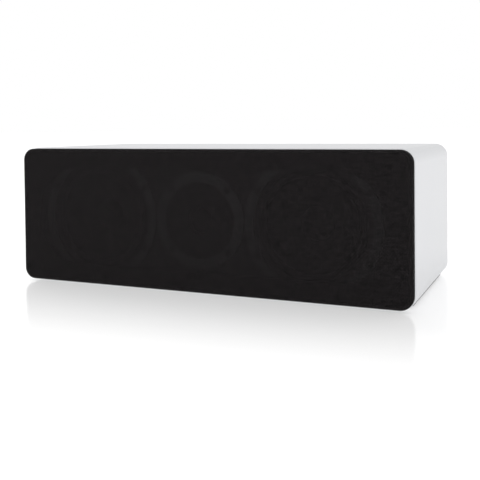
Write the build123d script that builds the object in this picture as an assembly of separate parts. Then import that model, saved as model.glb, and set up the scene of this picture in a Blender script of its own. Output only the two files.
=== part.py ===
from build123d import *
import os
from math import asin, cos, radians, sin

# A two-way center channel speaker: a wide low cabinet with two woofers beside a dome tweeter,
# behind a cloth grille that pulls off. Millimetres, x to the right as seen from the front,
# y to the back, z up. The origin is the middle of the footprint, on the surface it stands on.

# Clearances
fit_gap = 0.05            # pieces that are glued, screwed or pressed together
running_gap = 0.08        # a piece that turns or slides on another
seat_gap = 0.1            # faces of pieces that come apart
rebate_gap = 0.2          # round a driver's flange
cutout_gap = 0.5          # round what passes through a panel

# Drivers on the baffle
woofer_flange_radius = 73.0
tweeter_flange_radius = 52.0
flange_thickness = 4.5
rebate_depth = 2.0
driver_gap = 1.0          # between neighbouring flanges

# Cabinet
edge_margin = 4.5         # woofer flange to the cabinet's top and bottom
end_margin = 30.0         # woofer flange to the cabinet's ends
cabinet_depth = 203.0     # baffle face to rear panel
corner_radius = 14.0
edge_radius = 1.5         # baffle's front edge and wrap's rear edge
wall = 12.0
baffle_thickness = 18.0
rear_thickness = 12.0
brace_thickness = 12.0
brace_border = 24.0
brace_window_radius = 15.0

# Feet
foot_radius = 9.0
foot_height = 1.5
foot_inset = 28.0         # foot centre from the ends, the front and the back

# Grille
grille_depth = 10.0       # cloth face to baffle face
grille_inset = 1.0        # grille outline inside the cabinet's
cloth_thickness = 0.6
grille_plate = 3.0
grille_skirt = 2.2
grille_edge_radius = 2.0
grille_bar = 22.8         # cabinet's top or bottom to the frame's opening
grille_end_bar = 25.0     # cabinet's end to the frame's opening
grille_opening_radius = 50.0
skirt_gap = 0.3           # skirt to baffle
peg_radius = 3.5
peg_boss_radius = 5.2
peg_length = 9.0          # into the baffle
peg_inset = 13.0          # peg centre from the cabinet's edges
socket_wall = 1.4
socket_floor = 1.5
socket_lip = 1.6
socket_lip_thickness = 0.8

# Woofer basket, with depths from the flange's front face
flange_ring_width = 9.6   # the bright ring outside the surround
landing_depth = 2.5       # where the surround's lip is glued
landing_width = 6.0
basket_neck = 1.0         # step from the landing's rim to the tapered wall
basket_depth = 42.0
basket_wall = 2.6
basket_seat_thickness = 3.0
seat_hole_margin = 5.0    # motor seat's hole round the coil's gap
spider_ledge_depth = 30.0
spider_ledge_width = 5.0
spoke_count = 6
spoke_angle = 16.0
window_front = 8.0
window_back = 27.0
vent_height = 4.0

# Woofer motor
top_plate_radius = 43.0
top_plate_thickness = 5.0
magnet_radius = 45.0
magnet_hole_radius = 22.0
magnet_thickness = 15.0
back_plate_thickness = 6.0
pole_radius = 12.1
pole_rise = 1.0           # pole's face in front of the top plate's
pole_vent_radius = 4.0
former_gap = 0.4          # pole to coil former
former_thickness = 0.3
former_rise = 1.0         # former's end in front of the cone's neck
winding_thickness = 0.6
winding_length = 12.0
winding_gap = 0.35        # winding to top plate

# Woofer moving pieces
cone_thickness = 0.8
cone_neck_depth = 25.0
cone_bow = 2.5            # how far the cone's side curves forward of a straight line
cone_rim = 2.5            # flat rim under the surround's inner lip
dust_cap_radius = 18.0
dust_cap_height = 6.0
dust_cap_thickness = 0.7
surround_thickness = 0.8
roll_radius = 3.0
spider_thickness = 0.7
spider_wave = 1.3
spider_wave_count = 4
spider_collar = 1.5       # flat ring round the former

# Tweeter, with depths from its flange's front face
tweeter_ring_width = 11.0
tweeter_ring_thickness = 1.2
tweeter_plate_thickness = 8.0
waveguide_depth = 4.0
throat_radius = 16.5
dome_radius = 12.7
dome_height = 4.5
dome_thickness = 0.35
dome_roll_radius = 1.4
dome_lip = 3.5
tweeter_gap = 0.4         # between pole, coil and front plate
tweeter_coil_thickness = 0.4
tweeter_coil_length = 6.0
tweeter_plate_radius = 34.0
tweeter_front_plate_thickness = 4.0
tweeter_magnet_radius = 36.0
tweeter_magnet_hole_radius = 20.0
tweeter_magnet_thickness = 12.0
tweeter_back_plate_thickness = 5.0
tweeter_cutout_margin = 2.0

# Countersunk screws
screw_radius = 1.9
screw_head_radius = 3.7
screw_head_height = 2.0
screw_length = 16.0
cup_screw_length = 10.0
screw_socket_radius = 1.5
screw_socket_depth = 1.4
woofer_screw_count = 6
tweeter_screw_count = 4

# Rear port
port_radius = 20.0
port_wall = 2.5
port_flare = 9.0
port_collar = 4.5         # thicker stretch behind the flange
port_length = 85.0
port_rim = 4.0            # flange outside the flared mouth
rear_flange = 2.5         # port and terminal flanges stand this far off the rear panel

# Terminal cup and binding posts
cup_width = 62.0
cup_height = 40.0
cup_depth = 25.0
cup_wall = 2.0
cup_corner = 8.0
cup_flange_width = 11.0
post_spacing = 19.0
stud_radius = 3.0
stud_length = 20.0
stud_tail = 9.0
collar_radius = 6.0
collar_height = 2.0
plug_bore_radius = 2.0
plug_bore_floor = 0.4     # plug bore's end to the cross hole
wire_hole_radius = 1.2
wire_hole_height = 3.0    # above the collar
washer_radius = 6.4
washer_thickness = 1.2
knob_radius = 7.0
knob_length = 15.8
flute_radius = 1.0
flute_count = 12
nut_radius = 5.2
nut_height = 4.0

# Crossover
board_thickness = 1.6
board_margin = 5.0        # edge to the screws and to the components
component_gap = 3.0
standoff_radius = 3.5
standoff_height = 6.0
board_screw_radius = 1.4
board_screw_head_radius = 2.7
board_screw_head_height = 1.6
board_screw_length = 6.5
woofer_coil_radius = 17.0
woofer_coil_height = 14.0
tweeter_coil_radius = 12.0
tweeter_coil_height = 9.0
coil_hole_radius = 6.0
capacitor_count = 3
capacitor_radius = 7.5
capacitor_length = 30.0
resistor_width = 9.5
resistor_height = 9.0
resistor_length = 38.0

# Places worked out from the sizes
woofer_x = tweeter_flange_radius + driver_gap + woofer_flange_radius
cabinet_width = 2 * (woofer_x + woofer_flange_radius + end_margin)
cabinet_height = 2 * (woofer_flange_radius + edge_margin)
overall_depth = grille_depth + cabinet_depth + rear_flange
front_y = -overall_depth / 2
baffle_y = front_y + grille_depth
rear_y = baffle_y + cabinet_depth
center_z = foot_height + cabinet_height / 2
inside_floor = foot_height + wall
inside_width = cabinet_width - 2 * wall
inside_height = cabinet_height - 2 * wall
driver_proud = flange_thickness - rebate_depth
driver_y = baffle_y - driver_proud
socket_bore = peg_radius + running_gap
socket_depth = peg_length + seat_gap + socket_floor

landing_radius = woofer_flange_radius - flange_ring_width
basket_mouth = landing_radius - landing_width
basket_body_radius = landing_radius - basket_neck
woofer_cutout = basket_body_radius + cutout_gap
woofer_screw_circle = woofer_flange_radius - flange_ring_width / 2
ledge_outer = top_plate_radius + spider_ledge_width - basket_wall
ledge_inner = ledge_outer - spider_ledge_width
roll_center = basket_mouth - roll_radius - surround_thickness
cone_edge = roll_center - roll_radius - surround_thickness / 2
cone_front = landing_depth + fit_gap
former_radius = pole_radius + former_gap
former_outside = former_radius + former_thickness
winding_outside = former_outside + winding_thickness
top_plate_bore = winding_outside + winding_gap
winding_middle = basket_depth + top_plate_thickness / 2
back_plate_depth = basket_depth + top_plate_thickness + magnet_thickness

tweeter_ring_inside = tweeter_flange_radius - tweeter_ring_width
tweeter_screw_circle = tweeter_flange_radius - tweeter_ring_width / 2
tweeter_cutout = tweeter_magnet_radius + tweeter_cutout_margin
dome_lip_radius = dome_radius + 2 * dome_roll_radius + dome_lip
tweeter_back_depth = tweeter_plate_thickness + tweeter_front_plate_thickness + tweeter_magnet_thickness
tweeter_depth = tweeter_back_depth + tweeter_back_plate_thickness
brace_x = (tweeter_cutout + woofer_x - woofer_cutout) / 2

port_collar_radius = port_radius + port_wall + port_collar
port_flange_radius = port_radius + port_flare + port_rim
cup_floor_y = rear_y + rear_flange - cup_depth
capacitor_step = 2 * capacitor_radius + component_gap
coil_row_width = 2 * woofer_coil_radius + component_gap + 2 * tweeter_coil_radius
component_row_width = capacitor_count * capacitor_step + resistor_width
board_width = max(coil_row_width, component_row_width) + 2 * board_margin
coil_row_length = 2 * max(woofer_coil_radius, tweeter_coil_radius)
component_row_length = max(capacitor_length, resistor_length)
screw_row_length = 2 * board_margin      # the back screws, behind the components
board_length = board_margin + coil_row_length + component_gap + component_row_length + screw_row_length
board_y = (driver_y + tweeter_depth + cup_floor_y - cup_wall) / 2
board_top = inside_floor + standoff_height + board_thickness


# Shapes about the y axis, where depth grows towards the back

def outline(*points):
    """A straight-sided face from (radius, depth) points."""
    return make_face(Polyline(*points, close=True))


def turned(face, angle=360):
    return revolve(face, axis=Axis.Y, revolution_arc=angle)


def ring(outer, inner, start, end):
    return turned(outline((inner, start), (outer, start), (outer, end), (inner, end)))


def rod(radius, start, end):
    return turned(outline((0, start), (radius, start), (radius, end), (0, end)))


def along_y(sketch, start, end):
    """A sketch of (x, z) extruded from one depth to another."""
    return Pos(0, start, 0) * extrude(Plane.XZ * sketch, amount=end - start, dir=(0, 1, 0))


def upright(width, height, radius, start, end):
    return along_y(RectangleRounded(width, height, radius), start, end)


def around(count, radius):
    """(x, z) places on a circle, the first one half a step round."""
    angles = [radians(360 * (i + 0.5) / count) for i in range(count)]
    return [(radius * cos(angle), radius * sin(angle)) for angle in angles]


def corners(x, z):
    return [(-x, -z), (-x, z), (x, -z), (x, z)]


def screw_body(radius, head_radius, head_height, length, extra=0.0):
    """A countersunk screw from its head's face at 0; extra makes the hole it sits in."""
    return turned(outline(
        (0, 0),
        (head_radius + extra, 0),
        (radius + extra, head_height),
        (radius + extra, length + extra),
        (0, length + extra),
    ))


def screw_hole(length):
    return screw_body(screw_radius, screw_head_radius, screw_head_height, length, fit_gap)


def screw(length):
    body = screw_body(screw_radius, screw_head_radius, screw_head_height, length)
    return body - along_y(RegularPolygon(screw_socket_radius, 6), 0, screw_socket_depth)


# Cabinet

def cabinet_wrap():
    """Top, bottom and ends in one rounded tube, open at both ends."""
    length = cabinet_depth - baffle_thickness
    body = upright(cabinet_width, cabinet_height, corner_radius, 0, length)
    body = fillet(body.faces().sort_by(Axis.Y)[-1].edges(), edge_radius)
    body -= along_y(Rectangle(inside_width, inside_height), 0, length)
    return Pos(0, baffle_y + baffle_thickness, center_z) * body


def peg_places():
    """Eight grille pegs: the four corners, and above and below where the flanges meet."""
    z = cabinet_height / 2 - peg_inset
    return corners(cabinet_width / 2 - peg_inset, z) + corners(tweeter_flange_radius + driver_gap / 2, z)


def front_baffle():
    """One panel over the whole front, rebated so that the flanges sit part of the way in."""
    panel = upright(cabinet_width, cabinet_height, corner_radius, 0, baffle_thickness)
    panel = fillet(panel.faces().sort_by(Axis.Y)[0].edges(), edge_radius)
    for x in (-woofer_x, woofer_x):
        panel -= Pos(x, 0, 0) * driver_hole(woofer_flange_radius, woofer_cutout)
        for screw_x, z in around(woofer_screw_count, woofer_screw_circle):
            panel -= Pos(x + screw_x, -driver_proud, z) * screw_hole(screw_length)
    panel -= driver_hole(tweeter_flange_radius, tweeter_cutout)
    for x, z in around(tweeter_screw_count, tweeter_screw_circle):
        panel -= Pos(x, -driver_proud, z) * screw_hole(screw_length)
    socket_hole = rod(socket_bore + socket_wall + fit_gap, 0, socket_depth + fit_gap)
    for x, z in peg_places():
        panel -= Pos(x, 0, z) * socket_hole
    return Pos(0, baffle_y, center_z) * panel


def driver_hole(flange_radius, cutout):
    return rod(flange_radius + rebate_gap, 0, rebate_depth) + rod(cutout, 0, baffle_thickness)


def rear_panel():
    """Let into the wrap, with holes for the terminal cup, its screws and the port."""
    panel = along_y(Rectangle(inside_width, inside_height), -rear_thickness, 0)
    around_cup = cup_wall + cutout_gap
    panel -= upright(cup_width + 2 * around_cup, cup_height + 2 * around_cup,
                     cup_corner + around_cup, -rear_thickness, 0)
    panel -= Pos(woofer_x, 0, 0) * rod(port_collar_radius + cutout_gap, -rear_thickness, 0)
    for x, z in cup_screw_places():
        panel -= Pos(x, rear_flange, z) * Rot(180, 0, 0) * screw_hole(cup_screw_length)
    return Pos(0, rear_y, center_z) * panel


def brace():
    """A cross wall with a window, between the tweeter and a woofer."""
    length = cabinet_depth - baffle_thickness - rear_thickness
    panel = Box(brace_thickness, length, inside_height)
    window_length = length - 2 * brace_border
    window = RectangleRounded(window_length, inside_height - 2 * brace_border, brace_window_radius)
    panel -= extrude(Plane.YZ * window, amount=brace_thickness, both=True)
    return Pos(0, baffle_y + baffle_thickness + length / 2, center_z) * panel


def rubber_feet():
    x = cabinet_width / 2 - foot_inset
    pad = Pos(0, 0, foot_height / 2) * Cylinder(foot_radius, foot_height)
    return [Pos(side * x, y, 0) * pad
            for side in (-1, 1)
            for y in (baffle_y + foot_inset, rear_y - foot_inset)]


def port_tube():
    """A reflex tube with a flared mouth and a flange on the rear panel."""
    mouth = port_radius + port_flare
    arc_middle = port_flare * (1 - sin(radians(45)))
    flare_end = port_flare - rear_flange
    collar_end = rear_thickness / 2
    profile = make_face([
        ThreePointArc((mouth, -rear_flange),
                      (port_radius + arc_middle, arc_middle - rear_flange),
                      (port_radius, flare_end)),
        Polyline(
            (port_radius, flare_end),
            (port_radius, port_length),
            (port_radius + port_wall, port_length),
            (port_radius + port_wall, collar_end + port_collar),
            (port_collar_radius, collar_end),
            (port_collar_radius, 0),
            (port_flange_radius, 0),
            (port_flange_radius, -rear_flange),
            (mouth, -rear_flange),
        ),
    ])
    return Pos(woofer_x, rear_y, center_z) * Rot(180, 0, 0) * turned(profile)


# Grille

def grille_sockets():
    """Lipped cups pressed into the baffle, one for each peg."""
    outside = socket_bore + socket_wall
    cup = turned(outline(
        (socket_bore, -socket_lip_thickness),
        (outside + socket_lip, -socket_lip_thickness),
        (outside + socket_lip, 0),
        (outside, 0),
        (outside, socket_depth),
        (0, socket_depth),
        (0, socket_depth - socket_floor),
        (socket_bore, socket_depth - socket_floor),
    ))
    return [Pos(x, baffle_y, center_z + z) * cup for x, z in peg_places()]


def grille_slab(inset, start, end):
    return upright(cabinet_width - 2 * inset, cabinet_height - 2 * inset, corner_radius - inset, start, end)


def rounded_slab(inset, start, end, radius):
    slab = grille_slab(inset, start, end)
    return fillet(slab.faces().sort_by(Axis.Y)[0].edges(), radius)


def grille_frame():
    """A moulded tray: a flat front with one long opening, a skirt round it and its pegs."""
    outer = grille_inset + cloth_thickness
    plate_back = cloth_thickness + grille_plate
    skirt_back = grille_depth - skirt_gap
    frame = rounded_slab(outer, cloth_thickness, skirt_back, grille_edge_radius)
    frame -= grille_slab(outer + grille_skirt, plate_back, skirt_back)
    frame -= upright(cabinet_width - 2 * grille_end_bar, cabinet_height - 2 * grille_bar,
                     grille_opening_radius, 0, plate_back)
    shoulder = grille_depth - socket_lip_thickness - seat_gap
    peg = rod(peg_boss_radius, plate_back, shoulder) + rod(peg_radius, plate_back, grille_depth + peg_length)
    for x, z in peg_places():
        frame += Pos(x, 0, z) * peg
    return Pos(0, front_y, center_z) * frame


def grille_cloth():
    """The cloth stretched over the frame's face and down its skirt."""
    back = grille_depth - skirt_gap
    cloth = rounded_slab(grille_inset, 0, back, grille_edge_radius + cloth_thickness)
    cloth -= rounded_slab(grille_inset + cloth_thickness, cloth_thickness, back, grille_edge_radius)
    return Pos(0, front_y, center_z) * cloth


# Woofer

def basket():
    """Cast frame: flange, landing for the surround, spokes, spider ledge and motor seat."""
    seat_front = basket_depth - basket_seat_thickness
    ledge_back = spider_ledge_depth + basket_wall
    body = turned(outline(
        (woofer_flange_radius, 0),
        (woofer_flange_radius, flange_thickness),
        (basket_body_radius, flange_thickness),
        (ledge_outer + basket_wall, spider_ledge_depth),
        (ledge_outer + basket_wall, ledge_back),
        (top_plate_radius, seat_front),
        (top_plate_radius, basket_depth),
        (top_plate_bore + seat_hole_margin, basket_depth),
        (top_plate_bore + seat_hole_margin, seat_front),
        (ledge_inner - basket_wall, seat_front),
        (ledge_inner, ledge_back),
        (ledge_inner, spider_ledge_depth),
        (ledge_outer, spider_ledge_depth),
        (basket_mouth, flange_thickness),
        (basket_mouth, landing_depth),
        (landing_radius, landing_depth),
        (landing_radius, 0),
    ))
    window = basket_window(ledge_inner, window_front, window_back)
    vent = basket_window(ledge_inner - 2 * basket_wall, ledge_back, ledge_back + vent_height)
    for i in range(spoke_count):
        turn = Rot(0, 360 * i / spoke_count, 0)
        body -= turn * window
        body -= turn * vent
    for x, z in around(woofer_screw_count, woofer_screw_circle):
        body -= Pos(x, 0, z) * screw_hole(screw_length)
    return body


def basket_window(inner, start, end):
    """The space between two spokes, centred on the x axis."""
    outer = woofer_flange_radius
    angle = 360 / spoke_count - spoke_angle
    cutter = turned(outline((inner, start), (outer, start), (outer, end), (inner, end)), angle)
    return Rot(0, -angle / 2, 0) * cutter


def half_roll(center, radius, thickness, base):
    """Section of a roll that bulges to the front from a base depth."""
    section = Circle(radius + thickness) - Circle(radius)
    width = 2 * (radius + thickness)
    section &= Pos(0, -width / 2) * Rectangle(width, width)
    return Pos(center, base) * section


def flat_lip(inner, outer, thickness, back):
    return outline((inner, back - thickness), (outer, back - thickness), (outer, back), (inner, back))


def surround():
    """Rubber half roll with one lip on the basket's landing and one on the cone's rim."""
    t = surround_thickness
    section = half_roll(roll_center, roll_radius, t, landing_depth)
    section += flat_lip(roll_center + roll_radius, landing_radius - fit_gap, t, landing_depth)
    section += flat_lip(cone_edge - cone_rim, roll_center - roll_radius, t, landing_depth)
    return turned(section)


def cone_depth(radius):
    """Depth of the cone's front face at a radius between its neck and its rim."""
    neck = former_outside + fit_gap
    share = (radius - neck) / (cone_edge - cone_rim - neck)
    straight = cone_neck_depth + (cone_front - cone_neck_depth) * share
    return straight - 4 * cone_bow * share * (1 - share)


def cone():
    """A paper cone, steeper towards its neck, with a flat rim under the surround."""
    neck = former_outside + fit_gap
    rim = cone_edge - cone_rim
    control = ((neck + rim) / 2, (cone_neck_depth + cone_front) / 2 - 2 * cone_bow)
    back = Pos(0, cone_thickness)
    side = Bezier((rim, cone_front), control, (neck, cone_neck_depth))
    section = make_face([
        Line((cone_edge, cone_front), (rim, cone_front)),
        side,
        Line((neck, cone_neck_depth), (neck, cone_neck_depth + cone_thickness)),
        back * side,
        Line((rim, cone_front + cone_thickness), (cone_edge, cone_front + cone_thickness)),
        Line((cone_edge, cone_front + cone_thickness), (cone_edge, cone_front)),
    ])
    return turned(section)


def cap_arc(radius, height, base):
    """An arc from a rim at the base depth to an apex on the axis, in front of it by the height."""
    sphere = (radius ** 2 + height ** 2) / (2 * height)
    half = asin(radius / sphere) / 2
    center = base - height + sphere
    halfway = (sphere * sin(half), center - sphere * cos(half))
    return ThreePointArc((radius, base), halfway, (0, base - height))


def cap_section(radius, height, thickness, base):
    return make_face([
        cap_arc(radius, height, base),
        Line((0, base - height), (0, base - height + thickness)),
        cap_arc(radius - thickness, height - thickness, base),
        Line((radius - thickness, base), (radius, base)),
    ])


def dust_cap():
    base = cone_depth(dust_cap_radius) - fit_gap
    return turned(cap_section(dust_cap_radius, dust_cap_height, dust_cap_thickness, base))


def voice_coil():
    """A thin former glued in the cone's neck, with the winding in the magnetic gap."""
    winding_front = winding_middle - winding_length / 2
    winding_back = winding_middle + winding_length / 2
    former = ring(former_outside, former_radius, cone_neck_depth - former_rise, winding_back)
    return former + ring(winding_outside, former_outside, winding_front, winding_back)


def spider():
    """A ring of waves from the former to the basket's ledge, which centres the coil."""
    start = former_outside + fit_gap
    first = start + spider_collar
    last = ledge_inner - spider_thickness
    base = spider_ledge_depth - spider_thickness
    step = (last - first) / (2 * spider_wave_count)
    waves = [
        (first + step * (i + 0.5), base + (spider_wave if i % 2 else -spider_wave))
        for i in range(2 * spider_wave_count)
    ]
    front = [(start, base), (first, base), *waves, (last, base), (ledge_outer - fit_gap, base)]
    back = [(radius, depth + spider_thickness) for radius, depth in reversed(front)]
    return turned(outline(*front, *back))


def top_plate():
    return ring(top_plate_radius, top_plate_bore, basket_depth, basket_depth + top_plate_thickness)


def magnet():
    return ring(magnet_radius, magnet_hole_radius, basket_depth + top_plate_thickness, back_plate_depth)


def yoke():
    """Back plate and vented pole in one steel piece."""
    back = back_plate_depth + back_plate_thickness
    return turned(outline(
        (pole_vent_radius, basket_depth - pole_rise),
        (pole_radius, basket_depth - pole_rise),
        (pole_radius, back_plate_depth),
        (top_plate_radius, back_plate_depth),
        (top_plate_radius, back),
        (pole_vent_radius, back),
    ))


def screws_on(count, circle):
    return [Pos(x, 0, z) * screw(screw_length) for x, z in around(count, circle)]


# Tweeter

def tweeter_faceplate():
    """Moulded plate with a shallow waveguide, a step for the ring and a recess for the film."""
    film_seat = tweeter_plate_thickness - dome_thickness - fit_gap
    middle = (tweeter_ring_inside + throat_radius) / 2
    plate = turned(make_face([
        Bezier((tweeter_ring_inside, 0), (middle, 0), (throat_radius, waveguide_depth)),
        Polyline(
            (throat_radius, waveguide_depth),
            (throat_radius, film_seat),
            (dome_lip_radius + fit_gap, film_seat),
            (dome_lip_radius + fit_gap, tweeter_plate_thickness),
            (tweeter_magnet_radius, tweeter_plate_thickness),
            (tweeter_magnet_radius, flange_thickness),
            (tweeter_flange_radius, flange_thickness),
            (tweeter_flange_radius, tweeter_ring_thickness + fit_gap),
            (tweeter_ring_inside, tweeter_ring_thickness + fit_gap),
            (tweeter_ring_inside, 0),
        ),
    ]))
    for x, z in around(tweeter_screw_count, tweeter_screw_circle):
        plate -= Pos(x, 0, z) * screw_hole(screw_length)
    return plate


def tweeter_ring():
    """The bright ring on the faceplate's step."""
    body = ring(tweeter_flange_radius, tweeter_ring_inside + fit_gap, 0, tweeter_ring_thickness)
    for x, z in around(tweeter_screw_count, tweeter_screw_circle):
        body -= Pos(x, 0, z) * screw_hole(screw_length)
    return body


def tweeter_dome():
    """Pressed cloth film: dome, roll and clamped lip in one."""
    t = dome_thickness
    back = tweeter_plate_thickness - fit_gap / 2
    roll_middle = dome_radius + dome_roll_radius
    section = half_roll(roll_middle, dome_roll_radius - t, t, back)
    section += flat_lip(roll_middle + dome_roll_radius - t, dome_lip_radius, t, back)
    section += cap_section(dome_radius + t, dome_height, t, back)
    return turned(section)


def tweeter_coil():
    start = tweeter_plate_thickness
    return ring(dome_radius, dome_radius - tweeter_coil_thickness, start, start + tweeter_coil_length)


def tweeter_front_plate():
    start = tweeter_plate_thickness
    return ring(tweeter_plate_radius, dome_radius + tweeter_gap, start, start + tweeter_front_plate_thickness)


def tweeter_magnet():
    start = tweeter_plate_thickness + tweeter_front_plate_thickness
    return ring(tweeter_magnet_radius, tweeter_magnet_hole_radius, start, tweeter_back_depth)


def tweeter_yoke():
    pole = dome_radius - tweeter_coil_thickness - tweeter_gap
    return turned(outline(
        (0, tweeter_plate_thickness),
        (pole, tweeter_plate_thickness),
        (pole, tweeter_back_depth),
        (tweeter_plate_radius, tweeter_back_depth),
        (tweeter_plate_radius, tweeter_depth),
        (0, tweeter_depth),
    ))


# Terminals

def cup_screw_places():
    return corners((cup_width + cup_flange_width) / 2, (cup_height + cup_flange_width) / 2)


def terminal_cup():
    """A flanged pocket in the rear panel with the two posts on its floor."""
    outside = 2 * cup_wall
    flange = 2 * cup_flange_width
    cup = upright(cup_width + flange, cup_height + flange, cup_corner, -rear_flange, 0)
    cup += upright(cup_width + outside, cup_height + outside, cup_corner + cup_wall, -cup_depth - cup_wall,
                   -rear_flange)
    cup -= upright(cup_width, cup_height, cup_corner, -cup_depth, 0)
    for x in (-post_spacing / 2, post_spacing / 2):
        cup -= Pos(x, 0, 0) * rod(stud_radius + fit_gap, -cup_depth - cup_wall, -cup_depth)
    for x, z in cup_screw_places():
        cup -= Pos(x, 0, z) * Rot(180, 0, 0) * screw_hole(cup_screw_length)
    return Pos(0, rear_y + rear_flange, center_z) * cup


def cup_screws():
    return [Pos(x, rear_y + rear_flange, center_z + z) * Rot(180, 0, 0) * screw(cup_screw_length)
            for x, z in cup_screw_places()]


def stud():
    """Brass post with a collar on the cup's floor, a plug bore and a cross hole for bare wire."""
    body = turned(outline(
        (0, -cup_wall - stud_tail),
        (stud_radius, -cup_wall - stud_tail),
        (stud_radius, 0),
        (collar_radius, 0),
        (collar_radius, collar_height),
        (stud_radius, collar_height),
        (stud_radius, stud_length),
        (0, stud_length),
    ))
    cross_hole = collar_height + wire_hole_height
    body -= Pos(0, cross_hole, 0) * Rot(0, 90, 0) * Cylinder(wire_hole_radius, 4 * stud_radius)
    return body - rod(plug_bore_radius, cross_hole + wire_hole_radius + plug_bore_floor, stud_length)


def clamp_washer():
    start = collar_height + seat_gap
    return ring(washer_radius, stud_radius + running_gap, start, start + washer_thickness)


def knob():
    """Fluted thumb nut, open at the back so that a plug reaches the stud's bore."""
    start = collar_height + washer_thickness + 2 * seat_gap
    section = Circle(knob_radius)
    for x, z in around(flute_count, knob_radius):
        section -= Pos(x, z) * Circle(flute_radius)
    section -= Circle(stud_radius + running_gap)
    return along_y(section, start, start + knob_length)


def post_nuts():
    section = RegularPolygon(nut_radius, 6) - Circle(stud_radius + fit_gap)
    nut = along_y(section, -cup_wall - nut_height, -cup_wall)
    return [at_post(side, nut) for side in (-1, 1)]


def at_post(side, shape):
    return Pos(side * post_spacing / 2, cup_floor_y, center_z) * shape


# Crossover

def crossover_board():
    board = Pos(0, board_y, board_top - board_thickness / 2) * Box(board_width, board_length, board_thickness)
    for x, y in board_hole_places():
        board -= Pos(x, y, board_top) * Cylinder(board_screw_radius + fit_gap, 4 * board_thickness)
    return board


def board_hole_places():
    places = corners(board_width / 2 - board_margin, board_length / 2 - board_margin)
    return [(x, board_y + y) for x, y in places]


def crossover_standoffs():
    post = Cylinder(standoff_radius, standoff_height)
    hole = Cylinder(board_screw_radius + fit_gap, board_screw_length - board_thickness + fit_gap,
                    align=(Align.CENTER, Align.CENTER, Align.MAX))
    post -= Pos(0, 0, standoff_height / 2) * hole
    return [Pos(x, y, inside_floor + standoff_height / 2) * post for x, y in board_hole_places()]


def crossover_screws():
    body = Cylinder(board_screw_radius, board_screw_length, align=(Align.CENTER, Align.CENTER, Align.MAX))
    body += Cylinder(board_screw_head_radius, board_screw_head_height,
                     align=(Align.CENTER, Align.CENTER, Align.MIN))
    return [Pos(x, y, board_top) * body for x, y in board_hole_places()]


def air_coil(radius, height, side):
    """A wound coil standing on the board, in the front corner on one side."""
    inset = board_margin + radius
    coil = Cylinder(radius, height) - Cylinder(coil_hole_radius, height)
    x = side * (board_width / 2 - inset)
    return Pos(x, board_y - board_length / 2 + inset, board_top + height / 2) * coil


def component_row_y():
    """Front end of the row behind the coils."""
    return board_y - board_length / 2 + board_margin + coil_row_length + component_gap


def capacitor_x(i):
    first = board_margin - board_width / 2 + capacitor_radius
    return first + i * capacitor_step


def capacitors():
    can = rod(capacitor_radius, 0, capacitor_length)
    z = board_top + capacitor_radius + fit_gap
    return [Pos(capacitor_x(i), component_row_y(), z) * can for i in range(capacitor_count)]


def power_resistor():
    x = capacitor_x(capacitor_count) - capacitor_radius + resistor_width / 2
    body = Box(resistor_width, resistor_length, resistor_height)
    return Pos(x, component_row_y() + resistor_length / 2, board_top + resistor_height / 2) * body


# All the pieces, by node name

def woofer_pieces(name, x):
    makers = {
        "basket": basket,
        "surround": surround,
        "cone": cone,
        "dust_cap": dust_cap,
        "voice_coil": voice_coil,
        "spider": spider,
        "top_plate": top_plate,
        "magnet": magnet,
        "yoke": yoke,
    }
    at = Pos(x, driver_y, center_z)
    pieces = {f"{name}_{part}": at * make() for part, make in makers.items()}
    pieces[f"{name}_screws"] = [at * item for item in screws_on(woofer_screw_count, woofer_screw_circle)]
    return pieces


def tweeter_pieces():
    at = Pos(0, driver_y, center_z)
    pieces = {
        "tweeter_faceplate": at * tweeter_faceplate(),
        "tweeter_ring": at * tweeter_ring(),
        "tweeter_dome": at * tweeter_dome(),
        "tweeter_voice_coil": at * tweeter_coil(),
        "tweeter_front_plate": at * tweeter_front_plate(),
        "tweeter_magnet": at * tweeter_magnet(),
        "tweeter_yoke": at * tweeter_yoke(),
    }
    pieces["tweeter_screws"] = [at * item for item in screws_on(tweeter_screw_count, tweeter_screw_circle)]
    return pieces


def cabinet_pieces():
    return {
        "cabinet_wrap": cabinet_wrap(),
        "front_baffle": front_baffle(),
        "rear_panel": rear_panel(),
        "brace_left": Pos(-brace_x, 0, 0) * brace(),
        "brace_right": Pos(brace_x, 0, 0) * brace(),
        "rubber_feet": rubber_feet(),
        "port_tube": port_tube(),
        "grille_sockets": grille_sockets(),
        "grille_frame": grille_frame(),
        "grille_cloth": grille_cloth(),
    }


def terminal_pieces():
    pieces = {
        "terminal_cup": terminal_cup(),
        "terminal_cup_screws": cup_screws(),
        "post_nuts": post_nuts(),
    }
    for colour, side in (("red", -1), ("black", 1)):
        pieces[f"post_stud_{colour}"] = at_post(side, stud())
        pieces[f"post_washer_{colour}"] = at_post(side, clamp_washer())
        pieces[f"post_knob_{colour}"] = at_post(side, knob())
    return pieces


def crossover_pieces():
    return {
        "crossover_board": crossover_board(),
        "crossover_standoffs": crossover_standoffs(),
        "crossover_screws": crossover_screws(),
        "woofer_inductor": air_coil(woofer_coil_radius, woofer_coil_height, -1),
        "tweeter_inductor": air_coil(tweeter_coil_radius, tweeter_coil_height, 1),
        "capacitors": capacitors(),
        "power_resistor": power_resistor(),
    }


def save(name, shape):
    whole = Compound(shape) if isinstance(shape, list) else shape
    export_step(whole, f"parts/{name}.step")


os.makedirs("parts", exist_ok=True)
pieces = {
    **cabinet_pieces(),
    **woofer_pieces("woofer_left", -woofer_x),
    **woofer_pieces("woofer_right", woofer_x),
    **tweeter_pieces(),
    **terminal_pieces(),
    **crossover_pieces(),
}
for name, shape in pieces.items():
    save(name, shape)
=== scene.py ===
# %% [markdown]
# A center channel speaker for a home audio rack: a low white cabinet whose whole front is a black
# cloth grille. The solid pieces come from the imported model, at their real size and place. This
# lesson gives each of them its finish, makes the pieces that are soft, and sets up the studio.

# %% Load the frame
from math import asin, cos, pi, radians, sin

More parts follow.
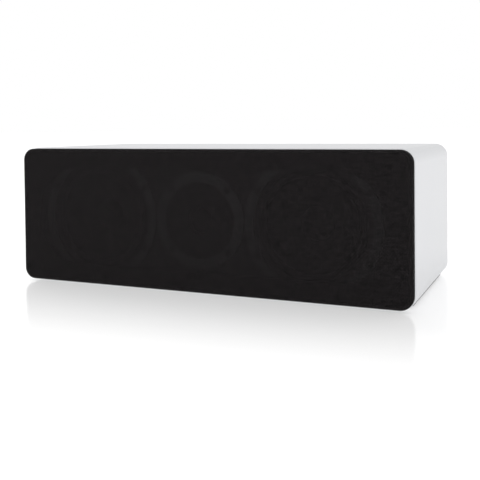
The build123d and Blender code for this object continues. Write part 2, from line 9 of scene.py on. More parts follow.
import bmesh
import bpy
from mathutils import Matrix, Vector


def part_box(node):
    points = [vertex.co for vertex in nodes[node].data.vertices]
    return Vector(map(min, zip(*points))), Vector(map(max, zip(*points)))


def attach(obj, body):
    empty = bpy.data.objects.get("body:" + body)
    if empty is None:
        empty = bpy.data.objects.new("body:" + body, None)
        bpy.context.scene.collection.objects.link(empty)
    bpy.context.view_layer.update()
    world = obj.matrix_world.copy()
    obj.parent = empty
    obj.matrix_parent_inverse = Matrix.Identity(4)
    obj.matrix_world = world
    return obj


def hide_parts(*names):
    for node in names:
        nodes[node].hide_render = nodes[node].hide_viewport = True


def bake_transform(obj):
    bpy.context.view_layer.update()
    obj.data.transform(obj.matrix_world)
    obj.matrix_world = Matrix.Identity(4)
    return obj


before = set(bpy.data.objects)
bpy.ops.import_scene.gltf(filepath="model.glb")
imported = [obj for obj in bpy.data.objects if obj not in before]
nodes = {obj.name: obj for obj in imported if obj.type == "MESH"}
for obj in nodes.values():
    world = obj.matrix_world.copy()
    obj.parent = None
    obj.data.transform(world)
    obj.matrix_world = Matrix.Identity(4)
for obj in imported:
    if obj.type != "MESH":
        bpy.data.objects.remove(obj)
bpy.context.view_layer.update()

mm = 0.001

# %% [markdown]
# Sizes. Everything here is in metres, as the frame is, so a size in millimetres is multiplied by
# mm. Places are read from the CAD nodes' boxes rather than typed again, so that a piece made here
# stays on the piece that carries it.

# %% Places read from the CAD nodes
wrap_low, wrap_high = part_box("cabinet_wrap")
cloth_low, cloth_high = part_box("grille_cloth")
cabinet_width = wrap_high.x - wrap_low.x
cabinet_height = wrap_high.z - wrap_low.z
center_z = (wrap_high.z + wrap_low.z) / 2
corner_radius = 14 * mm
print(f"cabinet {cabinet_width / mm:.1f} x {cabinet_height / mm:.1f} mm, middle {center_z / mm:.2f} mm up")

# %% [markdown]
# The camera comes first, because everything is judged through it. The photograph was taken from
# the right and just above the cabinet, with a long lens, and then cropped below the lens's axis,
# which keeps the upright edges parallel. A real camera does that with a shifted lens, and so does
# this one: shift_y moves the frame down without tilting the camera.

# %% Camera
camera_data = bpy.data.cameras.new("studio_camera")
camera_data.lens = 55.98
camera_data.sensor_width = 36
camera_data.shift_y = -0.1966
camera = bpy.data.objects.new("studio_camera", camera_data)
bpy.context.scene.collection.objects.link(camera)

camera_place = Vector((0.36165, -0.81052, 0.17802))
yaw, pitch, roll = radians(-23.778), radians(1.3876), radians(0.5603)
forward = Vector((sin(yaw) * cos(pitch), cos(yaw) * cos(pitch), -sin(pitch)))
right = Vector((cos(yaw), -sin(yaw), 0))
turned = Matrix((right, right.cross(forward), -forward)).transposed() @ Matrix.Rotation(-roll, 3, "Z")
camera.matrix_world = Matrix.Translation(camera_place) @ turned.to_4x4()
bpy.context.scene.camera = camera
print("camera at", [round(v, 3) for v in camera_place])

# %% [markdown]
# Colours are written as the sRGB hex values that a colour picker shows, and a shader wants them
# linear, so one function turns them. A second one adds a node with its settings and links, and a
# third starts a material with the object's own coordinates in millimetres: a noise with a scale
# of 1 / 0.5 then has grains of half a millimetre, whatever the object's size.
#
# Sockets that share one name are picked by their number. A Math node counts its inputs from 0. A
# Mix node holds sockets for every kind of data at once, so the numbers of its colour sockets get
# names here.

# %% Helpers for materials
first_tone, second_tone, mixed_tone = 6, 7, 2


def linear(hex_colour):
    """An sRGB hex colour as the linear RGBA that a shader takes."""
    channels = [int(hex_colour[i:i + 2], 16) / 255 for i in (1, 3, 5)]
    return [c / 12.92 if c <= 0.04045 else ((c + 0.055) / 1.055) ** 2.4 for c in channels] + [1.0]


def add(tree, kind, inputs=None, **settings):
    """Adds one node, sets its options, and fills its inputs with values or other nodes' outputs."""
    node = tree.nodes.new("ShaderNode" + kind)
    for name, value in settings.items():
        setattr(node, name, value)
    for name, value in (inputs or {}).items():
        if isinstance(value, bpy.types.NodeSocket):
            tree.links.new(value, node.inputs[name])
        else:
            node.inputs[name].default_value = value
    return node


def start_material(name):
    """An empty node material, its tree, and the object's own coordinates in millimetres."""
    material = bpy.data.materials.new(name)
    material.use_nodes = True
    tree = material.node_tree
    tree.nodes.clear()
    place = add(tree, "TexCoord").outputs["Object"]
    scaled = add(tree, "VectorMath", {"Vector": place, "Scale": 1 / mm}, operation="SCALE")
    return material, tree, scaled.outputs["Vector"]


def shade(tree, inputs):
    """The one shader of a material, with its output."""
    shader = add(tree, "BsdfPrincipled", inputs)
    add(tree, "OutputMaterial", {"Surface": shader.outputs["BSDF"]})


def paint(material, *names):
    """Puts a material on CAD nodes, in place of the one they came with."""
    for name in names:
        slots = nodes[name].data.materials
        slots.clear()
        slots.append(material)
    print(f"{material.name} on {', '.join(names)}")


# %% [markdown]
# The studio of a catalogue picture is a light table: a polished opal sheet that glows from below,
# in a room that is white all round. At the camera's low angle the polish mirrors what stands on it.
# The photograph's mirror image fades within a hand's width, so the sheet's polish fades with the
# distance from the cabinet. Its glow is a painted shade near the cabinet: weaker round the
# footprint, it rises with the distance until it is as white as the background. Both distances are
# in millimetres, measured from the cabinet's footprint.

# %% Floor
floor_half_width = 30
floor_mesh = bpy.data.meshes.new("studio_floor")
shape = bmesh.new()
bmesh.ops.create_grid(shape, x_segments=1, y_segments=1, size=floor_half_width)
shape.to_mesh(floor_mesh)
shape.free()
floor = bpy.data.objects.new("studio_floor", floor_mesh)
bpy.context.scene.collection.objects.link(floor)
print(f"floor {2 * floor_half_width} m wide")

# %% Opal sheet
polish_fades_from, polish_fades_to = 60, 280
# The glow's dip near the cabinet is a painted shade round its footprint.
painted_shade_fades_from, painted_shade_fades_to = 60, 250
polish_near, polish_far = 0.5, 0.0
painted_shade_glow_near, glow_far = 0.37, 0.52

floor_paint, tree, place = start_material("polished_opal_light_table_painted_shade")
middle = ((wrap_low + wrap_high) / 2).xy / mm
footprint = add(tree, "VectorMath", {0: place, 1: (middle.x, middle.y, 0)}, operation="SUBTRACT")
quarter = add(tree, "VectorMath", {0: footprint.outputs["Vector"]}, operation="ABSOLUTE")
half_size = ((wrap_high - wrap_low) / 2).xy / mm
beyond = add(tree, "VectorMath", {0: quarter.outputs["Vector"], 1: (half_size.x, half_size.y, 0)},
             operation="SUBTRACT")
outside = add(tree, "VectorMath", {0: beyond.outputs["Vector"], 1: (0, 0, 0)}, operation="MAXIMUM")
away = add(tree, "VectorMath", {0: outside.outputs["Vector"]}, operation="LENGTH").outputs["Value"]
polish = add(tree, "MapRange", {"Value": away, "From Min": polish_fades_from, "From Max": polish_fades_to,
                                "To Min": polish_near, "To Max": polish_far},
             interpolation_type="SMOOTHSTEP")
glow = add(tree, "MapRange", {"Value": away, "From Min": painted_shade_fades_from, "From Max": painted_shade_fades_to,
                              "To Min": painted_shade_glow_near, "To Max": glow_far}, interpolation_type="SMOOTHSTEP")
shade(tree, {"Base Color": linear("#dadada"), "Roughness": 0.15, "IOR": 1.5,
             "Specular IOR Level": polish.outputs["Result"],
             "Emission Strength": glow.outputs["Result"], "Emission Color": linear("#ffffff")})
floor_mesh.materials.append(floor_paint)
print(f"{floor_paint.name}: polished up to {polish_fades_to} mm from the cabinet")

# %% [markdown]
# A sheet that glows leaves no shadow where the cabinet's rounded foot nears it. A black card just
# inside the foot is a painted shadow: it brings back the fine dark line that the photograph has
# under the side.

# %% Card for a painted shadow under the cabinet
# The card is a painted shadow: a dark sheet where only the foot's shade would be.
shadow_card_inset = 7.8 * mm
shadow_card_lift = 0.2 * mm
shadow_card_mesh = bpy.data.meshes.new("painted_shadow_card")
shape = bmesh.new()
bmesh.ops.create_grid(shape, x_segments=1, y_segments=1, size=0.5)
shadow_card_size = wrap_high - wrap_low - Vector((1, 1, 0)) * 2 * shadow_card_inset
bmesh.ops.scale(shape, vec=(shadow_card_size.x, shadow_card_size.y, 1), verts=shape.verts)
bmesh.ops.translate(shape, vec=(0, (wrap_low.y + wrap_high.y) / 2, shadow_card_lift), verts=shape.verts)
shape.to_mesh(shadow_card_mesh)
shape.free()
shadow_card = bpy.data.objects.new("painted_shadow_card", shadow_card_mesh)
bpy.context.scene.collection.objects.link(shadow_card)
shadow_card_paint, tree, _ = start_material("painted_shadow_matt_black")
shade(tree, {"Base Color": linear("#101010"), "Roughness": 0.9})
shadow_card_mesh.materials.append(shadow_card_paint)
print(f"card {shadow_card_size.x / mm:.0f} x {shadow_card_size.y / mm:.0f} mm")

# %% [markdown]
# The light is the white room itself, a little stronger near the horizon than above, because the
# cabinet's side is as bright as its top. The camera sees the room as plain white, whatever its
# light. The plain Standard view keeps white paper white, where a film-like view would turn it grey.
#
# A direction's height runs from 0 at the horizon to 1 straight up, and the room is at its dimmest
# from 0.8 on.

# %% Light of the room
horizon_strength = 1.01
overhead_strength = 0.79
overhead_from = 0.8

world = bpy.data.worlds.new("white_studio")
world.use_nodes = True
tree = world.node_tree
direction = add(tree, "SeparateXYZ", {"Vector": add(tree, "TexCoord").outputs["Generated"]})
glow = add(tree, "MapRange", {"Value": direction.outputs["Z"], "From Min": 0.0, "From Max": overhead_from,
                              "To Min": horizon_strength, "To Max": overhead_strength},
           interpolation_type="SMOOTHSTEP")
seen = add(tree, "LightPath").outputs["Is Camera Ray"]
strength = add(tree, "Mix", {"Factor": seen, "A": glow.outputs["Result"], "B": 1.0})
background = tree.nodes["Background"]
tree.links.new(strength.outputs["Result"], background.inputs["Strength"])
background.inputs["Color"].default_value = linear("#ffffff")
bpy.context.scene.world = world
bpy.context.scene.view_settings.view_transform = "Standard"
print(f"room {horizon_strength} at the horizon and {overhead_strength} above")

# %% [markdown]
# Two soft boxes add to the room. A long low strip in front brings out the drivers' bright rings
# behind the cloth. It stays below the cabinet's top, which would otherwise mirror it to a camera
# behind the cabinet. A square one above on the left gives the top its soft highlight.

# %% Soft boxes
def softbox(name, place, width, height, watts):
    """A rectangular soft light that faces the cabinet."""
    data = bpy.data.lights.new(name, "AREA")
    data.shape = "RECTANGLE"
    data.size = width
    data.size_y = height
    data.energy = watts
    light = bpy.data.objects.new(name, data)
    light.location = place
    light.rotation_mode = "QUATERNION"
    light.rotation_quaternion = (-light.location).to_track_quat("-Z", "Y")
    bpy.context.scene.collection.objects.link(light)
    print(f"{name}: {watts} W from {width} x {height} m")


softbox("front_softbox", place=(-0.05, -1.15, 0.08), width=1.4, height=0.14, watts=5.5)
softbox("high_softbox", place=(-1.2, 0.3, 1.6), width=1.0, height=1.0, watts=6)

# %% [markdown]
# The cabinet is fibreboard under a sprayed satin lacquer. Spray leaves a faint orange peel, waves
# of a few millimetres that only show in its highlights, so it is a bump of hundredths of a
# millimetre and a slight change of gloss, and the colour only has a broad, very faint cloud.
#
# The lacquer ends at the front edge's curve. The front behind the grille is sprayed grey, and the
# inside of the panels is bare board. One mask gives all three: how far a point lies inside the
# cabinet's rounded outline, seen from the front. The lacquer reaches 1.5 mm round the front edge,
# and the board is 12 mm thick, so its inner face lies just past 11.97 mm.

# %% Mask of the cabinet's outline
def inside_outline(tree, place):
    """How far a point lies inside the cabinet's outline, seen from the front, in millimetres."""
    middle = add(tree, "VectorMath", {0: place, 1: (0, 0, center_z / mm)}, operation="SUBTRACT")
    quarter = add(tree, "VectorMath", {0: middle.outputs["Vector"]}, operation="ABSOLUTE")
    straight = ((cabinet_width / 2 - corner_radius) / mm, 0, (cabinet_height / 2 - corner_radius) / mm)
    corner = add(tree, "VectorMath", {0: quarter.outputs["Vector"], 1: straight}, operation="SUBTRACT")
    beyond = add(tree, "VectorMath", {0: corner.outputs["Vector"], 1: (0, 0, 0)}, operation="MAXIMUM")
    flat = add(tree, "VectorMath", {0: beyond.outputs["Vector"], 1: (1, 0, 1)}, operation="MULTIPLY")
    reach = add(tree, "VectorMath", {0: flat.outputs["Vector"]}, operation="LENGTH")
    inside = add(tree, "Math", {0: corner_radius / mm, 1: reach.outputs["Value"]}, operation="SUBTRACT")
    return inside.outputs["Value"]


# %% Lacquer
peel_width = 2.5
peel_depth = 0.02 * mm
cloud_width = 60
front_overlap = 1.5
board_inside = 11.97


def lacquered(name, under=None, depth=0.0):
    """Satin white lacquer; under is the colour of what lies deeper than depth millimetres."""
    material, tree, place = start_material(name)
    peel = add(tree, "TexNoise", {"Vector": place, "Scale": 1 / peel_width, "Detail": 1.0})
    gloss = add(tree, "MapRange", {"Value": peel.outputs["Fac"], "To Min": 0.30, "To Max": 0.38})
    bump = add(tree, "Bump", {"Height": peel.outputs["Fac"], "Strength": 0.5, "Distance": peel_depth})
    cloud = add(tree, "TexNoise", {"Vector": place, "Scale": 1 / cloud_width, "Detail": 2.0})
    colour = add(tree, "Mix", {"Factor": cloud.outputs["Fac"], first_tone: linear("#d5d6d9"),
                               second_tone: linear("#d9dadc")}, data_type="RGBA").outputs[mixed_tone]
    if under:
        deep = add(tree, "Math", {0: inside_outline(tree, place), 1: depth}, operation="GREATER_THAN")
        colour = add(tree, "Mix", {"Factor": deep.outputs["Value"], first_tone: colour,
                                   second_tone: linear(under)}, data_type="RGBA").outputs[mixed_tone]
    shade(tree, {"Base Color": colour, "Roughness": gloss.outputs["Result"], "IOR": 1.5,
                 "Normal": bump.outputs["Normal"]})
    return material


paint(lacquered("satin_lacquer_on_board"), "rear_panel")
paint(lacquered("satin_lacquer_and_bare_board", under="#a98b66", depth=board_inside), "cabinet_wrap")
paint(lacquered("satin_lacquer_and_grey_front", under="#6f7073", depth=front_overlap), "front_baffle")

# %% [markdown]
# The grille's cloth is a thin black polyester, stretched over a moulded frame and glued down its
# sides. It is one sheet: a flat face, a rolled edge and a skirt. A flat grid with its four corners
# bevelled gives the outline, its rim is extruded to the back, and the front rim is bevelled again
# for the roll. The sheet's own UV map unfolds it, so that the weave runs over the edge as it does
# on real cloth.

# %% Grille cloth
cloth_width = cloth_high.x - cloth_low.x
cloth_height = cloth_high.z - cloth_low.z
cloth_depth = cloth_high.y - cloth_low.y
cloth_corner = corner_radius - (cabinet_width - cloth_width) / 2
cloth_roll = 2.6 * mm
cloth_thickness = 0.6 * mm
corner_segments = 12
roll_segments = 5

shape = bmesh.new()
bmesh.ops.create_grid(shape, x_segments=1, y_segments=1, size=0.5)
bmesh.ops.scale(shape, vec=(cloth_width, cloth_height, 1), verts=shape.verts)
bmesh.ops.rotate(shape, matrix=Matrix.Rotation(pi / 2, 3, "X"), verts=shape.verts)
bmesh.ops.translate(shape, vec=(0, cloth_low.y, center_z), verts=shape.verts)
bmesh.ops.bevel(shape, geom=shape.verts[:], offset=cloth_corner, offset_type="OFFSET", affect="VERTICES",
                segments=corner_segments, profile=0.5, material=-1)
rim = shape.edges[:]
skirt = bmesh.ops.extrude_edge_only(shape, edges=rim)
back_rim = [item for item in skirt["geom"] if isinstance(item, bmesh.types.BMVert)]
bmesh.ops.translate(shape, vec=(0, cloth_depth, 0), verts=back_rim)
bmesh.ops.bevel(shape, geom=rim, offset=cloth_roll, offset_type="OFFSET", affect="EDGES",
                segments=roll_segments, profile=0.5, material=-1)
bmesh.ops.recalc_face_normals(shape, faces=shape.faces)
print(f"cloth outline {cloth_width / mm:.1f} x {cloth_height / mm:.1f} mm, {len(shape.faces)} faces")

# %% Unfolding the cloth
straight_x = cloth_width / 2 - cloth_corner
straight_z = cloth_height / 2 - cloth_corner
unfolded = shape.loops.layers.uv.new("unfolded")
for face in shape.faces:
    face.smooth = True
    for loop in face.loops:
        x, y, z = loop.vert.co - Vector((0, cloth_low.y, center_z))
        out = Vector((x - max(-straight_x, min(x, straight_x)), z - max(-straight_z, min(z, straight_z))))
        out.normalize()
        loop[unfolded].uv = ((x + out.x * y) / mm, (z + out.y * y) / mm)
cloth_area = sum(face.calc_area() for face in shape.faces)

cloth_mesh = bpy.data.meshes.new("grille_cloth_sheet")
shape.to_mesh(cloth_mesh)
shape.free()
cloth = bpy.data.objects.new("grille_cloth_sheet", cloth_mesh)
bpy.context.scene.collection.objects.link(cloth)
wall = cloth.modifiers.new("thickness", "SOLIDIFY")
wall.thickness = cloth_thickness
wall.offset = -1

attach(cloth, "grille")
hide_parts("grille_cloth")

# %% [markdown]
# Grille cloth is woven plainly from one dull thread: every crossing is a small bump, and the next
# one a dip. The product of two sines is that pattern. The real threads are 0.6 mm apart, less than
# a pixel here, so they are drawn 1.8 mm apart. Slubs, the thick places of a thread, make the grain
# that the eye still sees at this distance: a noise stretched along the warp, and one along the weft.
#
# The cloth is open, and lets a little light through each of its two skins, so that the drivers'
# bright rings show faintly behind it. A rough black surface mirrors white light at a grazing angle
# and turns grey, which the small gaps between real fibres prevent, so its specular level is low.

# %% Woven cloth
thread_pitch = 1.8
slub_width = 1.5
slub_length = 8
slub_height = 4.0
tone_low, tone_high = 2.5, 5.5
weave_depth = 0.15 * mm
cover = 0.8

woven, tree, _ = start_material("woven_black_polyester")
sheet_place = add(tree, "UVMap", uv_map="unfolded").outputs["UV"]
across = add(tree, "SeparateXYZ", {"Vector": sheet_place})
threads = []
for axis in "XY":
    turns = add(tree, "Math", {0: across.outputs[axis], 1: pi / thread_pitch}, operation="MULTIPLY")
    threads.append(add(tree, "Math", {0: turns.outputs["Value"]}, operation="SINE").outputs["Value"])
warp, weft = threads
crossing = add(tree, "Math", {0: warp, 1: weft}, operation="MULTIPLY")
slubs = []
for stretched in ((1 / slub_width, 1 / slub_length, 1), (1 / slub_length, 1 / slub_width, 1)):
    along = add(tree, "VectorMath", {0: sheet_place, 1: stretched}, operation="MULTIPLY")
    slubs.append(add(tree, "TexNoise", {"Vector": along.outputs["Vector"], "Scale": 1.0, "Detail": 2.0}))
slub = add(tree, "Math", {0: slubs[0].outputs["Fac"], 1: slubs[1].outputs["Fac"]}, operation="ADD")
height = add(tree, "Math", {0: slub.outputs["Value"], 1: slub_height, 2: crossing.outputs["Value"]},
             operation="MULTIPLY_ADD").outputs["Value"]
tone = add(tree, "MapRange", {"Value": height, "From Min": tone_low, "From Max": tone_high})
colour = add(tree, "Mix", {"Factor": tone.outputs["Result"], first_tone: linear("#000000"),
                           second_tone: linear("#211e1f")}, data_type="RGBA").outputs[mixed_tone]
bump = add(tree, "Bump", {"Height": height, "Strength": 0.6, "Distance": weave_depth})
shade(tree, {"Base Color": colour, "Roughness": 0.85, "IOR": 1.45, "Specular IOR Level": 0.12,
             "Alpha": cover, "Normal": bump.outputs["Normal"]})
cloth_mesh.materials.append(woven)
print(f"{woven.name}: threads {thread_pitch} mm apart, slubs {slub_width} x {slub_length} mm")

# %% [markdown]
# Each woofer's cone hangs on two soft rings, which bend as it travels: the rubber roll of the
# surround at its rim, and the waved cloth of the spider at its neck. A piece can only bend along one
# straight line, so a ring is made as 24 equal sectors, and neighbours meet at the same radius. A
# ring's section is drawn as a line, and a spin sweeps it through one sector's angle. The faces are
# turned to look forward before the wall gets its thickness, so that it grows to the back.

# %% One sector of a soft ring
sector_count = 24
sector_angle = 2 * pi / sector_count
sector_steps = 6
sharp_corner = radians(35)
same_point = 0.001 * mm


def ring_sector(name, draw_line, thickness, driver, number):
    """One sector of a ring round the axis through driver, as a thin closed strip."""
    shape = bmesh.new()
    draw_line(shape, driver)
    turn = Matrix.Rotation(number * sector_angle, 3, "Y")
    bmesh.ops.rotate(shape, cent=driver, matrix=turn, verts=shape.verts)
    bmesh.ops.spin(shape, geom=shape.edges[:] + shape.verts[:], cent=driver, axis=(0, 1, 0),
                   angle=sector_angle, steps=sector_steps)
    bmesh.ops.remove_doubles(shape, verts=shape.verts, dist=same_point)
    bmesh.ops.recalc_face_normals(shape, faces=shape.faces)
    if sum(face.normal.y * face.calc_area() for face in shape.faces) > 0:
        bmesh.ops.reverse_faces(shape, faces=shape.faces)
    bmesh.ops.solidify(shape, geom=shape.faces[:], thickness=thickness)
    for face in shape.faces:
        face.smooth = True
    for edge in shape.edges:
        edge.smooth = edge.calc_face_angle(0) < sharp_corner
    mesh = bpy.data.meshes.new(name)
    shape.to_mesh(mesh)
    shape.free()
    piece = bpy.data.objects.new(name, mesh)
    bpy.context.scene.collection.objects.link(piece)
    return piece


# %% Both woofers' rings
def soft_ring(ring, draw_line, thickness, material):
    """Both woofers' rings, as sectors round each driver's axis, in place of the CAD node's ring."""
    for side in ("left", "right"):
        basket_low, basket_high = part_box(f"woofer_{side}_basket")
        driver = Vector(((basket_low.x + basket_high.x) / 2, basket_low.y, center_z))
        for number in range(sector_count):
            name = f"woofer_{side}_{ring}_{number + 1:02d}"
            piece = ring_sector(name, draw_line, thickness, driver, number)
            piece.data.materials.append(material)
            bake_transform(piece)
            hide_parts(f"woofer_{side}_{ring}")
    print(f"{ring}: {2 * sector_count} sectors of {len(piece.data.polygons)} faces")


# %% [markdown]
# The surround is moulded rubber: a half roll between two flat lips, one glued to the cone and one to
# the basket. The roll is half a turn of spin from a single vertex, and the lips are extruded from
# its ends. Rubber has a dull, slightly cloudy gloss, from the bloom that comes to its surface.

# %% Surrounds
surround_thickness = 0.8 * mm
roll_radius = 3.8 * mm
roll_center = 53.6 * mm
roll_steps = 16
inner_lip = 47.7 * mm
outer_lip = 63.35 * mm
lip_back = 2.5 * mm
bloom_width = 9


def surround_line(shape, driver):
    """The front line of the surround's section, from the inner lip to the outer one."""
    x, y, z = driver
    lip_y = y + lip_back - surround_thickness
    lean = asin(surround_thickness / roll_radius)
    start = shape.verts.new((x, lip_y, z + roll_center - roll_radius * cos(lean)))
    roll = bmesh.ops.spin(shape, geom=[start], cent=(x, y + lip_back, z + roll_center), axis=(-1, 0, 0),
                          angle=pi - 2 * lean, steps=roll_steps)
    end = [item for item in roll["geom_last"] if isinstance(item, bmesh.types.BMVert)][0]
    for vert, radius in ((start, inner_lip), (end, outer_lip)):
        tip = bmesh.ops.extrude_vert_indiv(shape, verts=[vert])["verts"][0]
        tip.co = (x, lip_y, z + radius)


surround_rubber, tree, place = start_material("moulded_butyl_rubber")
bloom = add(tree, "TexNoise", {"Vector": place, "Scale": 1 / bloom_width, "Detail": 3.0})
colour = add(tree, "Mix", {"Factor": bloom.outputs["Fac"], first_tone: linear("#141415"),
                           second_tone: linear("#1f1f20")}, data_type="RGBA").outputs[mixed_tone]
gloss = add(tree, "MapRange", {"Value": bloom.outputs["Fac"], "To Min": 0.42, "To Max": 0.58})
shade(tree, {"Base Color": colour, "Roughness": gloss.outputs["Result"], "IOR": 1.52})
soft_ring("surround", surround_line, surround_thickness,
          material=surround_rubber)

# %% [markdown]
# Most of the other pieces are one plain material each, and what tells them apart is the grain of
# their surface: the spark-eroded texture of moulded plastic, the pebbly skin of a casting, the
# fibres of pressed paper. One function gives such a surface two tones and a bump from the same
# noise, so that the high spots are the light ones. Grain and depth are in millimetres.

# %% Grained surfaces
def grained(name, dark, light, grain, depth, **look):
    """A surface with one grain: its two tones, the grain's size and its depth in millimetres."""
    material, tree, place = start_material(name)
    noise = add(tree, "TexNoise", {"Vector": place, "Scale": 1 / grain, "Detail": 3.0})
    colour = add(tree, "Mix", {"Factor": noise.outputs["Fac"], first_tone: linear(dark),
                               second_tone: linear(light)}, data_type="RGBA").outputs[mixed_tone]
    bump = add(tree, "Bump", {"Height": noise.outputs["Fac"], "Strength": 0.8, "Distance": depth * mm})
    shade(tree, {"Base Color": colour, "Normal": bump.outputs["Normal"], **look})
    return material


# %% Plastic, rubber, paper and silk
woofers = ("woofer_left_", "woofer_right_")

# The mould's eroded pebble leaves the plastic dull, with a fine sparkle on its high spots.
paint(grained("spark_textured_abs", "#0d0d0e", "#222224", grain=0.8, depth=0.08, Roughness=0.55, IOR=1.53),
      "port_tube", "terminal_cup", "grille_frame", "crossover_standoffs", "tweeter_faceplate")
# Soft rubber is duller than the plastic beside it, and almost without grain.
paint(grained("moulded_soft_rubber", "#101010", "#1a1a1a", grain=1.2, depth=0.05, Roughness=0.8, IOR=1.52),
      "rubber_feet", "grille_sockets")
# Polycarbonate from a polished mould is smooth and glossy, in a strong even colour.
paint(grained("moulded_red_polycarbonate", "#8e0f12", "#a51518", grain=2.0, depth=0.005,
              Roughness=0.2, IOR=1.58), "post_knob_red")
paint(grained("moulded_black_polycarbonate", "#0e0e0f", "#161617", grain=2.0, depth=0.005,
              Roughness=0.2, IOR=1.58), "post_knob_black")
# Pressed paper is matt, and its fibres show as a soft mottle.
paint(grained("pressed_paper_cap", "#131314", "#252526", grain=0.7, depth=0.08, Roughness=0.85, IOR=1.5),
      *(name + "dust_cap" for name in woofers))
# Silk under its damping coat has a low sheen over a very fine grain.
paint(grained("coated_silk", "#121213", "#1e1e20", grain=0.4, depth=0.03, Roughness=0.45, IOR=1.5),
      "tweeter_dome")

# %% Metal and magnets
# Enamel deepens the copper's orange and keeps its shine.
paint(grained("enamelled_copper_wire", "#a5522c", "#c9743f", grain=0.4, depth=0.05,
              Metallic=1.0, Roughness=0.3),
      *(name + "voice_coil" for name in woofers), "tweeter_voice_coil",
      "woofer_inductor", "tweeter_inductor")
# Zinc plate is a bright grey with faint clouds.
paint(grained("zinc_plated_steel", "#9b9da1", "#b3b5b8", grain=1.5, depth=0.01,
              Metallic=1.0, Roughness=0.35),
      *(name + part for name in woofers for part in ("top_plate", "yoke")),
      "tweeter_front_plate", "tweeter_yoke")
# Ferrite is a fired ceramic, dark grey and dense, with a dull stony gloss.
paint(grained("sintered_ferrite", "#2a2a2c", "#3a3a3d", grain=0.5, depth=0.04, Roughness=0.65, IOR=2.3),
      *(name + "magnet" for name in woofers), "tweeter_magnet")
# Black oxide is only a thin film, so the steel still shines through the black.
paint(grained("black_oxide_steel", "#1a1a1b", "#2a2a2c", grain=0.5, depth=0.01,
              Metallic=1.0, Roughness=0.4),
      *(name + "screws" for name in woofers), "tweeter_screws", "terminal_cup_screws", "crossover_screws")
# Gold plate keeps sharp highlights, in a warm yellow.
paint(grained("gold_plated_brass", "#d6a95c", "#e6c078", grain=0.8, depth=0.005,
              Metallic=1.0, Roughness=0.18),
      "post_stud_red", "post_stud_black", "post_washer_red", "post_washer_black", "post_nuts")

# %% Boards and components
# Bare fibreboard is matt and brown, like felt seen from near.
paint(grained("raw_fibreboard", "#9c7f5b", "#b5976f", grain=0.7, depth=0.06, Roughness=0.9, IOR=1.5),
      "brace_left", "brace_right")
# The board's green lacquer has half a gloss, over the glass cloth's fine grain.
paint(grained("glass_epoxy_board", "#3d6b3a", "#487a44", grain=0.5, depth=0.02, Roughness=0.4, IOR=1.55),
      "crossover_board")
# Film that is wound tight is smooth and shiny.
paint(grained("wrapped_polyester_film", "#b8891f", "#cc9b2c", grain=2.0, depth=0.01, Roughness=0.3, IOR=1.6),
      "capacitors")
# Cast ceramic is off-white, chalky and rough.
paint(grained("cast_ceramic", "#d9d6cc", "#e6e3da", grain=0.6, depth=0.06, Roughness=0.85, IOR=1.6),
      "power_resistor")

# %% [markdown]
# The spider centres the voice coil in its gap. It is a disc of cotton, dipped in resin and pressed
# hot into waves, so that it gives easily along the axis and not at all across it. Its section is a
# flat collar on the coil's former, eight half waves and a flat rim on the basket's ledge. Each half
# wave is an arc spun from the last point, the next one the other way round. The resin turns the
# cotton amber and leaves the weave's grain to be felt.

# %% Spiders
spider_thickness = 0.7 * mm
spider_front = 29.3 * mm
spider_collar = (12.85 * mm, 14.35 * mm)
spider_rim = (39.7 * mm, 45.35 * mm)
half_wave_count = 8
half_wave = (spider_rim[0] - spider_collar[1]) / half_wave_count
wave_rise = 1.3 * mm
wave_radius = (half_wave ** 2 / 4 + wave_rise ** 2) / (2 * wave_rise)
wave_angle = 2 * asin(half_wave / 2 / wave_radius)
wave_steps = 5


def spider_line(shape, driver):
    """The front line of the spider's section, from its collar to its rim."""
    x, y, z = driver
    collar = shape.verts.new((x, y + spider_front, z + spider_collar[0]))
    tip = bmesh.ops.extrude_vert_indiv(shape, verts=[collar])["verts"][0]
    tip.co = (x, y + spider_front, z + spider_collar[1])
    for number in range(half_wave_count):
        way = 1 if number % 2 == 0 else -1
        center = (x, y + spider_front + way * (wave_radius - wave_rise),
                  z + spider_collar[1] + half_wave * (number + 0.5))
        arc = bmesh.ops.spin(shape, geom=[tip], cent=center, axis=(-way, 0, 0),
                             angle=wave_angle, steps=wave_steps)
        tip = [item for item in arc["geom_last"] if isinstance(item, bmesh.types.BMVert)][0]
    rim = bmesh.ops.extrude_vert_indiv(shape, verts=[tip])["verts"][0]
    rim.co = (x, y + spider_front, z + spider_rim[1])


pressed_cotton = grained("resin_dipped_cotton", "#8a6a3c", "#b8945c", grain=0.9, depth=0.12,
                         Roughness=0.8, IOR=1.5)
soft_ring("spider", spider_line, spider_thickness,
          material=pressed_cotton)

# %% [markdown]
# Three finishes go round a driver's axis: the fine marks that a lathe's tool leaves on the trim
# rings, the same marks on the face of the cast basket's flange, and the shallow ribs pressed into
# the paper cone. All of them are a one-dimensional noise or wave along the distance from the axis.
# Both woofers lie the same distance from the middle, so the distance is measured with x made
# positive, and one material serves both.

# %% Distance from a driver's axis
def from_axis(tree, place, axis_x):
    """Distance in millimetres from a driver's axis, which lies axis_x to either side."""
    middle = add(tree, "VectorMath", {0: place, 1: (0, 0, center_z / mm)}, operation="SUBTRACT")
    quarter = add(tree, "VectorMath", {0: middle.outputs["Vector"]}, operation="ABSOLUTE")
    shifted = add(tree, "VectorMath", {0: quarter.outputs["Vector"], 1: (axis_x, 0, 0)}, operation="SUBTRACT")
    flat = add(tree, "VectorMath", {0: shifted.outputs["Vector"], 1: (1, 0, 1)}, operation="MULTIPLY")
    return add(tree, "VectorMath", {0: flat.outputs["Vector"]}, operation="LENGTH").outputs["Value"]


basket_low, basket_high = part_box("woofer_right_basket")
woofer_axis = (basket_low.x + basket_high.x) / 2 / mm
flange_face = basket_low.y / mm
print(f"woofer axes {woofer_axis:.1f} mm from the middle")

# %% Turned rings and flanges
mark_width = 0.5
mark_depth = 0.02 * mm
pebble_width = 0.8
machined_skin = 0.3


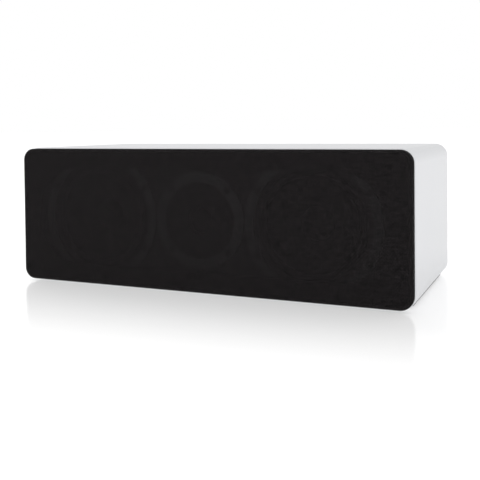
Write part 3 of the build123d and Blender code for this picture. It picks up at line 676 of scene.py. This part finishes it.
def turned_aluminium(name, axis_x, cast_behind=None):
    """Bright turned metal; behind the depth cast_behind in millimetres, the raw grey casting."""
    material, tree, place = start_material(name)
    radius = from_axis(tree, place, axis_x)
    marks = add(tree, "TexNoise", {"W": radius, "Scale": 1 / mark_width, "Detail": 2.0},
                noise_dimensions="1D").outputs["Fac"]
    colour = add(tree, "Mix", {"Factor": marks, first_tone: linear("#aeb0b3"),
                               second_tone: linear("#d3d5d7")}, data_type="RGBA").outputs[mixed_tone]
    rough = add(tree, "MapRange", {"Value": marks, "To Min": 0.24, "To Max": 0.36}).outputs["Result"]
    if cast_behind is not None:
        skin = add(tree, "TexNoise", {"Vector": place, "Scale": 1 / pebble_width, "Detail": 3.0})
        grey = add(tree, "Mix", {"Factor": skin.outputs["Fac"], first_tone: linear("#8e9092"),
                                 second_tone: linear("#a9abad")}, data_type="RGBA").outputs[mixed_tone]
        depth = add(tree, "SeparateXYZ", {"Vector": place}).outputs["Y"]
        behind = add(tree, "Math", {0: depth, 1: cast_behind}, operation="GREATER_THAN").outputs["Value"]
        colour = add(tree, "Mix", {"Factor": behind, first_tone: colour, second_tone: grey},
                     data_type="RGBA").outputs[mixed_tone]
        rough = add(tree, "Mix", {"Factor": behind, "A": rough, "B": 0.5}).outputs["Result"]
    bump = add(tree, "Bump", {"Height": marks, "Strength": 0.5, "Distance": mark_depth})
    shade(tree, {"Base Color": colour, "Metallic": 1.0, "Roughness": rough, "Normal": bump.outputs["Normal"]})
    return material


paint(turned_aluminium("turned_aluminium_trim", axis_x=0), "tweeter_ring")
paint(turned_aluminium("turned_flange_on_cast_basket", axis_x=woofer_axis,
                       cast_behind=flange_face + machined_skin),
      *(name + "basket" for name in woofers))

# %% [markdown]
# The cone is paper, pressed wet on a ribbed mould and dyed black. The ribs are in the bump alone:
# light brings them out, as on the real cone, where circles in the colour would look painted on.
# The paper's fibres are in the bump and in the colour.

# %% Cones
rib_pitch = 2.4
fibre_width = 0.7
fibre_height = 2.0
rib_depth = 0.1 * mm

ribbed, tree, place = start_material("ribbed_black_paper")
turns = add(tree, "Math", {0: from_axis(tree, place, woofer_axis), 1: 2 * pi / rib_pitch},
            operation="MULTIPLY")
rib = add(tree, "Math", {0: turns.outputs["Value"]}, operation="SINE")
fibre = add(tree, "TexNoise", {"Vector": place, "Scale": 1 / fibre_width, "Detail": 3.0}).outputs["Fac"]
height = add(tree, "Math", {0: fibre, 1: fibre_height, 2: rib.outputs["Value"]}, operation="MULTIPLY_ADD")
colour = add(tree, "Mix", {"Factor": fibre, first_tone: linear("#171718"),
                           second_tone: linear("#222223")}, data_type="RGBA").outputs[mixed_tone]
bump = add(tree, "Bump", {"Height": height.outputs["Value"], "Strength": 0.4, "Distance": rib_depth})
shade(tree, {"Base Color": colour, "Roughness": 0.85, "IOR": 1.5, "Normal": bump.outputs["Normal"]})
paint(ribbed, *(name + "cone" for name in woofers))
